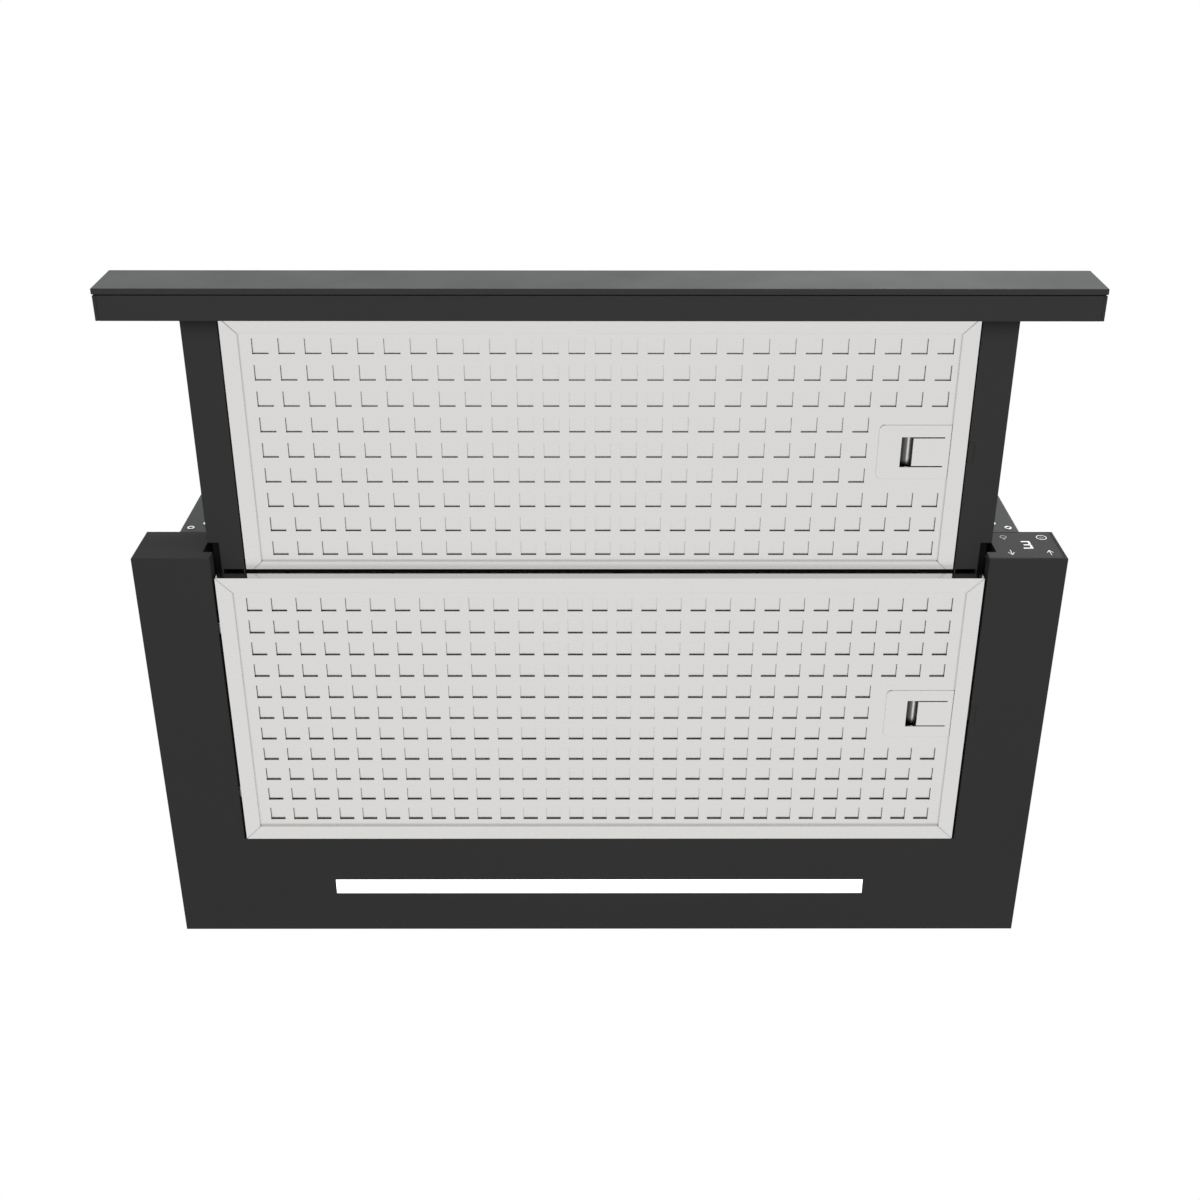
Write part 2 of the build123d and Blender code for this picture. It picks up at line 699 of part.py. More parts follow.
def flap(side, knuckle_x):
    """Half-round backdraft flap with two knuckles; side is -1 in front of the pin, 1 behind it."""
    y = spigot_y()
    low = HOUSING_TOP + STOP_H + FLAP_REST
    radius = SPIGOT_R - SPIGOT_WALL - FLAP_GAP
    disc = rod("Z", radius, low, low + FLAP_T, 0, y)
    near = KNUCKLE_R + FLAP_HINGE
    half = block(-radius, radius, y + side * near, y + side * radius, low, low + FLAP_T)
    leaf = disc & half
    notch_in = SPIGOT_R - BOSS_L - FLAP_GAP
    for notch in both(block(notch_in, SPIGOT_R, y - FLAP_NOTCH, y + FLAP_NOTCH, low, low + FLAP_T)):
        leaf -= notch
    for x in (-knuckle_x, knuckle_x):
        a = x - KNUCKLE_L / 2
        b = x + KNUCKLE_L / 2
        leaf += rod("X", KNUCKLE_R, a, b, y, PIN_Z)
        leaf += block(a, b, y, y + side * (near + CLEAR), low, low + FLAP_T)
        leaf -= rod("X", PIN_R + RUN_FIT, a, b, y, PIN_Z)
    return leaf


# Lamp and electrics


def led_diffuser():
    y = FRONT + LAMP_BEHIND_FRONT
    half = LAMP_D / 2 - LAMP_FIT
    lens = plate(LAMP_W / 2 - LAMP_FIT, y - half, y + half, 0, LAMP_T)
    half = LAMP_D / 2 + LAMP_FLANGE
    return lens + plate(LAMP_W / 2 + LAMP_FLANGE, y - half, y + half, SHEET, LAMP_T)


def led_holder():
    """Folded clip that presses the lamp on the tray and carries its board."""
    y = FRONT + LAMP_BEHIND_FRONT
    half_x = LAMP_W / 2 + LAMP_FLANGE + HOLDER_GAP
    half_y = LAMP_D / 2 + LAMP_FLANGE + HOLDER_GAP
    hat = plate(half_x + SHEET, y - half_y - SHEET, y + half_y + SHEET, SHEET, LIP_TOP - SHEET)
    hat -= plate(half_x, y - half_y, y + half_y, SHEET, LIP_TOP - 2 * SHEET)
    return hat


def led_board():
    """Lamp board with a row of small light sources."""
    y = FRONT + LAMP_BEHIND_FRONT
    top = LIP_TOP - 2 * SHEET
    under = top - LED_BOARD_T
    board = plate(LAMP_W / 2, y - LED_BOARD_W / 2, y + LED_BOARD_W / 2, under, top)
    half = LED_SIZE / 2
    chips = []
    for step in range(LED_COUNT):
        x = (step - (LED_COUNT - 1) / 2) * LAMP_W / LED_COUNT
        chips.append(block(x - half, x + half, y - half, y + half, under - LED_H, under))
    return board + chips


def led_driver():
    y = -SHEET - DRIVER_T
    case = Pos(DRIVER_X, y + DRIVER_T / 2, DRIVER_Z) * Box(DRIVER_L, DRIVER_T, DRIVER_H)
    field = Box(DRIVER_L - 2 * DRIVER_RIM, 2 * DRIVER_SUNK, DRIVER_H - 2 * DRIVER_RIM)
    return case - Pos(DRIVER_X, y, DRIVER_Z) * field


def power_box():
    """Terminal and control box under the housing's top, open towards it."""
    top = HOUSING_TOP - SHEET
    wide = POWER_BOX_W / 2
    deep = POWER_BOX_D / 2
    case = block(GLAND_X - wide, GLAND_X + wide, GLAND_Y - deep, GLAND_Y + deep, top - POWER_BOX_H, top)
    wide -= POWER_BOX_WALL
    deep -= POWER_BOX_WALL
    floor = top - POWER_BOX_H + POWER_BOX_WALL
    return case - block(GLAND_X - wide, GLAND_X + wide, GLAND_Y - deep, GLAND_Y + deep, floor, top)


def cable_gland():
    """Gland for the mains cable: body, hexagon and dome with an open bore."""
    low = HOUSING_TOP - GLAND_THREAD_L
    high = HOUSING_TOP + GLAND_DOME_H
    outline = RegularPolygon(GLAND_HEX_R, 6)
    body = rod("Z", GLAND_THREAD_R - RUN_FIT, low, HOUSING_TOP, GLAND_X, GLAND_Y)
    hexagon = Pos(GLAND_X, GLAND_Y, HOUSING_TOP) * extrude(outline, GLAND_HEX_H)
    dome = rod("Z", GLAND_DOME_R, HOUSING_TOP, high, GLAND_X, GLAND_Y)
    nut = Pos(GLAND_X, GLAND_Y, HOUSING_TOP - SHEET - GLAND_NUT_H) * extrude(outline, GLAND_NUT_H)
    return body + hexagon + dome + nut - rod("Z", GLAND_BORE, low, high, GLAND_X, GLAND_Y)


# Drawer


def slide_member(web_x, flange_to, low, high, y0):
    """A C-shaped slide member: a web at web_x and two flanges that point to flange_to."""
    side = 1 if flange_to > web_x else -1
    return add([
        block(web_x, web_x + side * SLIDE_SHEET, y0, y0 + SLIDE_L, low, high),
        block(web_x, flange_to, y0, y0 + SLIDE_L, low, low + SLIDE_SHEET),
        block(web_x, flange_to, y0, y0 + SLIDE_L, high - SLIDE_SHEET, high),
    ])


def slide_outer():
    return slide_member(OPENING_HALF, OPENING_HALF - SLIDE_FLANGE, SLIDE_LOW, SLIDE_HIGH, SLIDE_Y)


def slide_middle():
    web = OPENING_HALF - SLIDE_SHEET - SLIDE_SIDE_GAP
    level = SLIDE_SHEET + SLIDE_STEP
    reach = TAIL_HALF + SLIDE_SHEET + SLIDE_SIDE_GAP
    return slide_member(web, reach, SLIDE_LOW + level, SLIDE_HIGH - level, SLIDE_Y - TRAVEL / 2)


def slide_inner():
    level = 2 * (SLIDE_SHEET + SLIDE_STEP)
    reach = OPENING_HALF - 2 * (SLIDE_SHEET + SLIDE_SIDE_GAP)
    return slide_member(TAIL_HALF, reach, SLIDE_LOW + level, SLIDE_HIGH - level, SLIDE_Y - TRAVEL)


def drawer_frame():
    """Two arms, wide in front and narrow behind, tied by two cross pieces; their floor ends with the bay."""
    z0 = DRAWER_Z
    z1 = DRAWER_TOP
    arm = add([
        block(PULL_BAY, ARM_HALF, BAR_BACK, STEP_Y, z0, z0 + SHEET),
        block(PULL_BAY, TAIL_HALF, STEP_Y, PULL_REAR, z0, z0 + SHEET),
        block(PULL_BAY, PULL_BAY + SHEET, BAR_BACK, PULL_REAR + FLANGE_W, z0, z1),
        block(ARM_HALF - SHEET, ARM_HALF, BAR_BACK, STEP_Y, z0, z1),
        block(TAIL_HALF - SHEET, TAIL_HALF, BAR_BACK, TAIL_END, z0, z1),
        block(TAIL_HALF - SHEET, ARM_HALF, STEP_Y - SHEET, STEP_Y, z0, z1),
        block(PULL_BAY, ARM_HALF, BAR_BACK, BAR_BACK + SHEET, z0, z1),
        block(TAIL_HALF - TAIL_FLANGE, TAIL_HALF, PULL_REAR + FLANGE_W, TAIL_END, z1 - SHEET, z1),
    ])
    frame = arm + flip(arm)
    over = DRAWER_Z + FILTER_H + CLEAR
    frame += plate(PULL_BAY + SHEET, BAR_BACK, BAR_BACK + SHEET, over, z1)
    frame += plate(PULL_BAY + SHEET, PULL_REAR, PULL_REAR + FLANGE_W, over, over + SHEET)
    frame += plate(PULL_BAY + SHEET, PULL_REAR, PULL_REAR + SHEET, over, over + CROSS_LIP)
    tools = filter_bay_cuts(PULL_BAY, DRAWER_Z, PULL_FRONT, PULL_LATCH_AT, hook_places(PULL_D))
    for x, z in bar_screw_places():
        tools.append(rod("Y", SCREW_HOLE, BAR_BACK, BAR_BACK + SHEET, x, z))
    return cut(frame, tools)


def bar_screw_places():
    x = PULL_BAY - BAR_SCREW_IN
    z = DRAWER_TOP - BAR_SCREW_DOWN
    return [(x, z), (-x, z), (x / 3, z), (-x / 3, z)]


def drawer_cover():
    """Sheet over the drawer that leads the air back to the blower."""
    top = DRAWER_TOP + SHEET
    cover = plate(ARM_HALF, BAR_BACK, PULL_REAR, DRAWER_TOP, top)
    for x, y in cover_rivet_places():
        cover += rod("Z", RIVET_R, top, top + RIVET_H, x, y)
    return cover


def cover_rivet_places():
    x = (PULL_BAY + ARM_HALF) / 2
    places = []
    for y in (BAR_BACK + RIVET_IN, (BAR_BACK + STEP_Y) / 2, STEP_Y - RIVET_IN):
        places.append((x, y))
        places.append((-x, y))
    return places


def drawer_bumpers():
    rear = TAIL_END + TAIL_GAP - SHEET - CLEAR
    pad = block(TAIL_HALF - BUMPER_W, TAIL_HALF, TAIL_END, rear, DRAWER_Z, DRAWER_TOP)
    return group(both(pad))


def drawer_sensor():
    """Reed switch on the opening's right side, which tells that the drawer is shut."""
    y = FRONT + SENSOR_AT
    z = DRAWER_Z + SENSOR_UP
    return block(OPENING_HALF - SENSOR_T, OPENING_HALF, y, y + SENSOR_L, z, z + SENSOR_H)


def drawer_magnet():
    """Magnet inside the right arm, beside the sensor's middle when the drawer is shut."""
    y = FRONT + SENSOR_AT + (SENSOR_L - MAGNET_L) / 2 - TRAVEL
    z = DRAWER_Z + SENSOR_UP
    inside = ARM_HALF - SHEET
    return block(inside - SENSOR_T, inside, y, y + MAGNET_L, z, z + SENSOR_H)


def front_bar():
    """Hollow bar across the drawer's front, with a step that leaves the groove behind the trim."""
    half = BAR_W / 2 - CAP_T
    y0 = BAR_BACK - BAR_T
    bar = plate(half, y0, BAR_BACK, 0, BAR_H)
    bar -= plate(half, y0 + BAR_WALL, BAR_BACK - BAR_WALL, BAR_WALL, BAR_H - BAR_WALL)
    bar += plate(half, y0 - TRIM_GROOVE, y0, GROOVE_DEEP, BAR_H - GROOVE_DEEP)
    tools = [rod("Y", SCREW_HOLE, BAR_BACK - BAR_WALL, BAR_BACK, x, z) for x, z in bar_screw_places()]
    return cut(bar, tools)


def bar_screws():
    return group([screw_front(x, BAR_BACK + SHEET, z, SCREW_L) for x, z in bar_screw_places()])


def bar_cap_right():
    """End cap with a spigot inside the bar and its stretch of the step."""
    half = BAR_W / 2
    y0 = BAR_BACK - BAR_T
    shoulder = half - CAP_T
    cap = block(shoulder, half, y0, BAR_BACK, 0, BAR_H)
    cap += block(shoulder, half - GROOVE_END, y0 - TRIM_GROOVE, y0, GROOVE_DEEP, BAR_H - GROOVE_DEEP)
    inset = BAR_WALL + FIT_GAP
    plug = block(shoulder - PLUG_L, shoulder, y0 + inset, BAR_BACK - inset, inset, BAR_H - inset)
    inset += BAR_WALL
    plug -= block(shoulder - PLUG_L, shoulder, y0 + inset, BAR_BACK - inset, inset, BAR_H - inset)
    return cap + plug


def front_trim():
    """Flat front panel, a little wider than the bar."""
    y1 = TRIM_FRONT + TRIM_T
    trim = plate(BAR_W / 2 + TRIM_OVERHANG, TRIM_FRONT, y1, 0, BAR_H)
    edges = trim.edges().filter_by(Axis.X).group_by(Axis.Y)[0]
    return chamfer(edges, TRIM_CHAMFER)


# Filters, each in its own place: x from its middle, y from its front edge, z from its underside


def ring(half, depth, front_inset, rear_inset, side_inset, width, z0, z1):
    """A rectangular ring inside a filter's outline."""
    outer = block(-half + side_inset, half - side_inset, front_inset, depth - rear_inset, z0, z1)
    inner = block(-half + side_inset + width, half - side_inset - width, front_inset + width,
                  depth - rear_inset - width, z0, z1)
    return outer - inner


def wedge(points):
    return Pos(0, 0, -1) * extrude(make_face(Polyline(*points, close=True)), FILTER_H + 2)


def filter_frame(half, depth, rear_border, bay_gap, latch_y):
    """Four folded bars that meet in mitred corners, with two hooks on the left one."""
    t = FILTER_SHEET
    whole = ring(half, depth, 0, 0, 0, t, 0, FILTER_H)
    lip = block(-half, half, 0, depth, 0, t)
    lip -= block(-half + BORDER, half - BORDER, BORDER, depth - rear_border, 0, t)
    whole += lip
    whole += ring(half, depth, BORDER - t, rear_border - t, BORDER - t, t, 0, FACE_RECESS)
    whole += ring(half, depth, 0, 0, 0, min(BORDER, rear_border) - t, FILTER_H - t, FILTER_H)
    side = BOLT_HALF + 2 * FIT_GAP
    whole -= block(half - t, half, latch_y - side, latch_y + side, BOLT_LOW - FIT_GAP, BOLT_HIGH + FIT_GAP)
    inner_x = half - BORDER
    inner_y = depth - rear_border
    rear_x = inner_x + rear_border
    front = wedge([(-half, 0), (half, 0), (inner_x, BORDER), (-inner_x, BORDER)])
    rear = wedge([(-rear_x, depth), (-inner_x, inner_y), (inner_x, inner_y), (rear_x, depth)])
    sides = [(half, 0), (half, depth), (rear_x, depth), (inner_x, inner_y), (inner_x, BORDER)]
    if rear_border == BORDER:
        sides.remove((half, depth))
    right = wedge(sides)
    for x, y, turn in ((half, 0, 45), (-half, 0, -45), (rear_x, depth, -45), (-rear_x, depth, 45)):
        whole -= Pos(x, y, 0) * Rot(0, 0, turn) * Box(MITRE_GAP, 4 * BORDER, 2 * FILTER_H + 2)
    left_bar = whole & flip(right)
    for y in hook_places(depth):
        left_bar += block(-half - bay_gap - HOOK_REACH, -half + t, y - HOOK_HALF, y + HOOK_HALF,
                          BOLT_LOW, BOLT_HIGH)
    return group([whole & front, whole & rear, whole & right, left_bar])


def latch_marks(half):
    """The latch's places along X: pad edge, finger opening's two sides, tongue root."""
    tongue_root = half - TONGUE_END
    finger_right = tongue_root - TONGUE_L
    finger_left = finger_right - FINGER_W
    return finger_left - PAD_LEAD, finger_left, finger_right, tongue_root


def hole_places(half, grid, latch_y):
    """Centres of the face's holes, left out where the latch pad is."""
    columns, rows, pitch_x, pitch_y, first_row, shift = grid
    pad_left = latch_marks(half)[0]
    places = []
    for row in range(rows):
        y = first_row + row * pitch_y
        for column in range(columns):
            x = shift + (column - (columns - 1) / 2) * pitch_x
            beside_pad = abs(y - latch_y) < PAD_HALF + HOLE / 2
            if beside_pad and x + HOLE / 2 > pad_left:
                continue
            places.append((x, y))
    return places


def sheet_outline(half, depth):
    inset = FILTER_SHEET + FIT_GAP
    return Pos(0, depth / 2) * Rectangle(2 * (half - inset), depth - 2 * inset)


def filter_face(half, depth, places, latch_y):
    """Perforated face with the finger opening and the spring's lug."""
    finger_left = latch_marks(half)[1]
    finger_right = latch_marks(half)[2]
    holes = [Pos(x, y) * Rectangle(HOLE, HOLE) for x, y in places]
    middle = (finger_left + finger_right) / 2
    holes.append(Pos(middle, latch_y) * Rectangle(FINGER_W, FINGER_L))
    for x0, x1, y0, y1 in slit_places(half, latch_y):
        holes.append(Pos((x0 + x1) / 2, (y0 + y1) / 2) * Rectangle(x1 - x0, y1 - y0))
    face = Pos(0, 0, FACE_RECESS) * extrude(sheet_outline(half, depth) - holes, FACE_T)
    lug_x = finger_right + LUG_AT
    return face + block(lug_x, lug_x + LUG_T, latch_y - LUG_HALF, latch_y + LUG_HALF,
                        FACE_RECESS + FACE_T, BOLT_HIGH)


def filter_back(half, depth, grid, latch_y):
    """Second sheet, whose small holes lie between those of the face, cut out round the latch."""
    columns, rows, pitch_x, pitch_y, first_row, shift = grid
    pad_left = latch_marks(half)[0]
    bay = Pos((pad_left + half) / 2 + HOLE / 2, latch_y) * Rectangle(half - pad_left, 2 * PAD_HALF - CLEAR)
    holes = [bay]
    for row in range(rows - 1):
        y = first_row + (row + 0.5) * pitch_y
        for column in range(columns - 1):
            x = shift + (column + 1 - columns / 2) * pitch_x
            if abs(y - latch_y) < PAD_HALF + BACK_HOLE and x > pad_left - BACK_HOLE:
                continue
            holes.append(Pos(x, y) * Rectangle(BACK_HOLE, BACK_HOLE))
    return Pos(0, 0, BACK_LEVEL) * extrude(sheet_outline(half, depth) - holes, FILTER_SHEET)


def latch_plate(half, latch_y):
    """Raised pad with a finger opening and a tongue between two slits."""
    pad_left, finger_left, finger_right, tongue_root = latch_marks(half)
    right = half - BORDER
    z0 = FACE_RECESS - PAD_H
    pad = block(pad_left, right, latch_y - PAD_HALF, latch_y + PAD_HALF, z0, FACE_RECESS)
    pad = fillet(pad.edges().filter_by(Axis.Z).group_by(Axis.X)[0], PAD_RADIUS)
    reach = FINGER_L / 2
    tools = [block(finger_left, finger_right, latch_y - reach, latch_y + reach, z0, FACE_RECESS)]
    for x0, x1, y0, y1 in slit_places(half, latch_y):
        tools.append(block(x0, x1, y0, y1, z0, FACE_RECESS))
    return cut(pad, tools)


def slit_places(half, latch_y):
    """The slits on both sides of the tongue, as X and Y limits."""
    finger_right = latch_marks(half)[2]
    tongue_root = latch_marks(half)[3]
    places = []
    for side in (-1, 1):
        middle = latch_y + side * (FINGER_L - SLIT) / 2
        places.append((finger_right, tongue_root, middle - SLIT / 2, middle + SLIT / 2))
    return places


def latch(half, bay_gap, latch_y):
    """Sliding bolt with a trough behind the finger opening and a window for its spring."""
    finger_left = latch_marks(half)[1]
    finger_right = latch_marks(half)[2]
    grip_x = (finger_left + finger_right) / 2
    grip_z = FACE_RECESS + FACE_T + FIT_GAP
    inside = FINGER_W / 2 + GRIP_COVER
    outside = inside + GRIP_T
    tip = half + bay_gap + LATCH_TRAVEL - BOLT_SPARE
    window_end = finger_right + WINDOW_END
    z0 = BOLT_LOW
    z1 = BOLT_HIGH
    front = latch_y - GRIP_HALF
    rear = latch_y + GRIP_HALF
    grip = rod("Y", outside, front, rear, grip_x, grip_z) - rod("Y", inside, front, rear, grip_x, grip_z)
    grip &= block(grip_x - outside, grip_x + outside, front, rear, grip_z, grip_z + outside)
    bolt = block(grip_x + inside + GRIP_T / 2, finger_right + WIDE_END, latch_y - LATCH_HALF,
                 latch_y + LATCH_HALF, z0, z1)
    inner = LATCH_HALF - RAIL_W
    bolt -= block(grip_x + outside, window_end, latch_y - inner, latch_y + inner, z0, z1)
    bolt += block(window_end, tip, latch_y - BOLT_HALF, latch_y + BOLT_HALF, z0, z1)
    return bolt + grip


def latch_spring(half, latch_y):
    """Flat meander spring between the face's lug and the bolt."""
    start = latch_marks(half)[2] + LUG_AT + LUG_T
    end = latch_marks(half)[2] + WINDOW_END
    z0 = (BOLT_LOW + BOLT_HIGH) / 2 - WIRE / 2
    z1 = z0 + WIRE
    step = (end - start - WIRE) / SPRING_TURNS
    legs = []
    for count in range(SPRING_TURNS + 1):
        x = start + count * step
        legs.append(block(x, x + WIRE, latch_y - SPRING_HALF, latch_y + SPRING_HALF, z0, z1))
        if count < SPRING_TURNS:
            side = 1 if count % 2 else -1
            y = latch_y + side * (SPRING_HALF - WIRE / 2)
            legs.append(block(x, x + step + WIRE, y - WIRE / 2, y + WIRE / 2, z0, z1))
    return add(legs)


def filter_cassette(name, place, width, depth, rear_border, bay_gap, grid, latch_y):
    """All pieces of one grease filter, written under its name."""
    half = width / 2
    places = hole_places(half, grid, latch_y)
    nodes[name + "_frame"] = place * filter_frame(half, depth, rear_border, bay_gap, latch_y)
    nodes[name + "_face"] = place * filter_face(half, depth, places, latch_y)
    nodes[name + "_back"] = place * filter_back(half, depth, grid, latch_y)
    nodes[name + "_latch_plate"] = place * latch_plate(half, latch_y)
    nodes[name + "_latch"] = place * latch(half, bay_gap, latch_y)
    nodes[name + "_latch_spring"] = place * latch_spring(half, latch_y)


nodes["base_frame"] = base_frame()
nodes["control_panel"] = control_panel()
nodes["control_board"] = control_board()
nodes["housing_side_right"] = housing_side()
nodes["housing_side_left"] = flip(housing_side())
nodes["housing_back"] = housing_back()
nodes["housing_top"] = housing_top()
nodes["housing_front_plate"] = housing_front_plate()
nodes["front_plate_screws"] = front_plate_screws()
nodes["base_screws"] = base_screws()

nodes["scroll_right"] = scroll_half()
nodes["scroll_left"] = flip(nodes["scroll_right"])
nodes["scroll_screws"] = scroll_screws()
nodes["motor"] = motor()
nodes["motor_bracket"] = motor_bracket()
nodes["motor_mounts"] = motor_mounts()
nodes["motor_shaft"] = motor_shaft()
nodes["impeller"] = impeller()

nodes["outlet_collar"] = outlet_collar()
nodes["collar_screws"] = collar_screws()
nodes["flap_pin"] = flap_pin()
nodes["flap_front"] = flap(-1, KNUCKLE_FRONT)
nodes["flap_rear"] = flap(1, KNUCKLE_REAR)

nodes["led_diffuser"] = led_diffuser()
nodes["led_holder"] = led_holder()
nodes["led_board"] = led_board()
nodes["led_driver"] = led_driver()
nodes["power_box"] = power_box()
nodes["cable_gland"] = cable_gland()

nodes["slide_outer_right"] = slide_outer()
nodes["slide_outer_left"] = flip(slide_outer())
nodes["slide_middle_right"] = slide_middle()
nodes["slide_middle_left"] = flip(slide_middle())
nodes["slide_inner_right"] = slide_inner()
nodes["slide_inner_left"] = flip(slide_inner())

nodes["drawer_frame"] = drawer_frame()
nodes["drawer_cover"] = drawer_cover()
nodes["drawer_bumpers"] = drawer_bumpers()
nodes["drawer_sensor"] = drawer_sensor()
nodes["drawer_magnet"] = drawer_magnet()
nodes["front_bar"] = front_bar()
nodes["bar_screws"] = bar_screws()
nodes["bar_cap_right"] = bar_cap_right()
nodes["bar_cap_left"] = flip(bar_cap_right())
nodes["front_trim"] = front_trim()

fixed_first_row = (FIXED_D - (FIXED_ROWS - 1) * FIXED_PITCH_Y) / 2
fixed_grid = (FIXED_COLUMNS, FIXED_ROWS, FIXED_PITCH_X, FIXED_PITCH_Y, fixed_first_row, 0)
filter_cassette("fixed_filter", Pos(0, FIXED_FRONT, 0), FIXED_W, FIXED_D, BORDER, FIXED_BAY_GAP,
                fixed_grid, FIXED_LATCH_AT)
pull_first_row = BORDER + PULL_FIRST_HOLE + HOLE / 2
pull_grid = (PULL_COLUMNS, PULL_ROWS, PULL_PITCH_X, PULL_PITCH_Y, pull_first_row, PULL_PATTERN_SHIFT)
filter_cassette("drawer_filter", Pos(0, PULL_FRONT, DRAWER_Z), PULL_W, PULL_D, PULL_REAR_BORDER,
                PULL_BAY_GAP, pull_grid, PULL_LATCH_AT)
nodes["fixed_keeper"] = keeper(FIXED_BAY, 0, FIXED_FRONT, FIXED_LATCH_AT, LIP_TOP - SHEET)
nodes["drawer_keeper"] = keeper(PULL_BAY, DRAWER_Z, PULL_FRONT, PULL_LATCH_AT, DRAWER_Z + LIP_TOP - SHEET)

os.makedirs("parts", exist_ok=True)
for name, shape in nodes.items():
    export_step(shape, "parts/" + name + ".step")
print(len(nodes), "nodes written")
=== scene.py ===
"""A telescopic range hood seen from in front and below, with its drawer pulled out."""

import json
import math

import bmesh
import bpy
from mathutils import Matrix, Vector


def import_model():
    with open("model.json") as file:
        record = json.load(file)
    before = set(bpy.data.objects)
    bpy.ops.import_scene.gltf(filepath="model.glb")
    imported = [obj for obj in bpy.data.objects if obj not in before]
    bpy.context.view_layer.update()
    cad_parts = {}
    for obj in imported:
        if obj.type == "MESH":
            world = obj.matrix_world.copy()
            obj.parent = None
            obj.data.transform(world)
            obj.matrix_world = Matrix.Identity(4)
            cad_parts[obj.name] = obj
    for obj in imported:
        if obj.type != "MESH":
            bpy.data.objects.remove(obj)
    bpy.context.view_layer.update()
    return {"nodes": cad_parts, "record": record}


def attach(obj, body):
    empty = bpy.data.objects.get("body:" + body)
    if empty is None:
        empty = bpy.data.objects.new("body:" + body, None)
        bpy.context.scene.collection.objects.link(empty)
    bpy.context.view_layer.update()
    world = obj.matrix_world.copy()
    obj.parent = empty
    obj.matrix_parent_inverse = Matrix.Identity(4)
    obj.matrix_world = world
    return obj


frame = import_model()
NODES = frame["nodes"]
MM = 0.001

# Camera, fitted to the photograph's 1200 x 1200 frame
FOCAL_PIXELS = 1555.15
FRAME_PIXELS = 1200.0
SENSOR = 36.0
CAMERA_AT = Vector((-2.54, -733.26, -895.44)) * MM
PITCH = math.radians(62.629)
YAW = math.radians(-0.329)
ROLL = math.radians(-0.29)
NEAREST = 0.01
FARTHEST = 50


def camera():
    """Camera that looks up at the hood's underside."""
    turn = Matrix.Rotation(YAW, 3, "Z")
    forward = turn @ Vector((0, math.cos(PITCH), math.sin(PITCH)))
    up = turn @ Vector((0, -math.sin(PITCH), math.cos(PITCH)))
    right = turn @ Vector((1, 0, 0))
    x_axis = math.cos(ROLL) * right + math.sin(ROLL) * up
    y_axis = math.cos(ROLL) * up - math.sin(ROLL) * right
    data = bpy.data.cameras.new("camera")
    data.sensor_width = SENSOR
    data.lens = FOCAL_PIXELS / FRAME_PIXELS * SENSOR
    data.clip_start = NEAREST
    data.clip_end = FARTHEST
    eye = bpy.data.objects.new("camera", data)
    turned = Matrix((x_axis, y_axis, -forward)).transposed().to_4x4()
    eye.matrix_world = Matrix.Translation(CAMERA_AT) @ turned
    bpy.context.scene.collection.objects.link(eye)
    bpy.context.scene.camera = eye


# Building blocks of the materials. A noise pattern runs mostly between these two values

PATTERN_LOW = 0.3
PATTERN_HIGH = 0.7


def shader(name):
    """A new material with its node tree and its surface."""
    material = bpy.data.materials.new(name)
    material.use_nodes = True
    tree = material.node_tree
    return material, tree, tree.nodes["Principled BSDF"]


def node(tree, kind, **values):
    """A new node with some of its inputs or settings filled in."""
    made = tree.nodes.new(kind)
    for key, value in values.items():
        if key in made.inputs:
            made.inputs[key].default_value = value
        else:
            setattr(made, key, value)
    return made


def wire(tree, target, inputs):
    """Fills in a node's inputs, each from another node's output or with a plain value."""
    for key, value in inputs.items():
        if isinstance(value, bpy.types.NodeSocket):
            tree.links.new(value, target.inputs[key])
        else:
            target.inputs[key].default_value = value


def noise(tree, scale, detail, stretch=(1, 1, 1), roughness=0.5):
    """Noise in the object's own coordinates, drawn out along the axes that have a small stretch."""
    where = node(tree, "ShaderNodeTexCoord")
    mapping = node(tree, "ShaderNodeMapping", Scale=stretch)
    pattern = node(tree, "ShaderNodeTexNoise", Scale=scale, Detail=detail, Roughness=roughness)
    wire(tree, mapping, {"Vector": where.outputs["Object"]})
    wire(tree, pattern, {"Vector": mapping.outputs["Vector"]})
    return pattern.outputs["Fac"]


def facing(tree, axis):
    """How far a face looks along an axis, from -1 to 1."""
    where = node(tree, "ShaderNodeNewGeometry")
    split = node(tree, "ShaderNodeSeparateXYZ")
    wire(tree, split, {0: where.outputs["Normal"]})
    return split.outputs[axis]


def spread(tree, source, low, high, low_at=PATTERN_LOW, high_at=PATTERN_HIGH):
    """Maps a pattern onto a range of values."""
    made = node(tree, "ShaderNodeMapRange")
    wire(tree, made, {"Value": source, "From Min": low_at, "From Max": high_at})
    wire(tree, made, {"To Min": low, "To Max": high})
    return made.outputs["Result"]


def blend(tree, kind, factor, first, second):
    """Goes from a first number or colour to a second one as the factor goes from 0 to 1."""
    mix = node(tree, "ShaderNodeMix", data_type=kind)
    wire(tree, mix, {"Factor": factor, "A": first, "B": second})
    return mix.outputs["Result"]


def scaled(colour, factor):
    """A colour made darker or lighter."""
    return tuple(min(1.0, channel * factor) for channel in colour)


def shades(tree, pattern, colour, darkest, lightest=1.0):
    """One colour in shades that follow a pattern, between two factors."""
    ramp = node(tree, "ShaderNodeValToRGB")
    ends = ramp.color_ramp.elements
    for end, place, factor in ((ends[0], PATTERN_LOW, darkest), (ends[1], PATTERN_HIGH, lightest)):
        end.position = place
        end.color = (*scaled(colour, factor), 1)
    wire(tree, ramp, {"Fac": pattern})
    return ramp.outputs["Color"]


def uneven(tree, pattern, roughness, smoother, rougher):
    """A roughness that follows a pattern, from so much smoother to so much rougher."""
    return spread(tree, pattern, roughness - smoother, roughness + rougher)


def bump(tree, surface, pattern, strength, depth):
    """Raises a surface by a pattern, to a depth in millimetres."""
    made = node(tree, "ShaderNodeBump", Strength=strength, Distance=depth * MM)
    wire(tree, made, {"Height": pattern})
    wire(tree, surface, {"Normal": made.outputs["Normal"]})
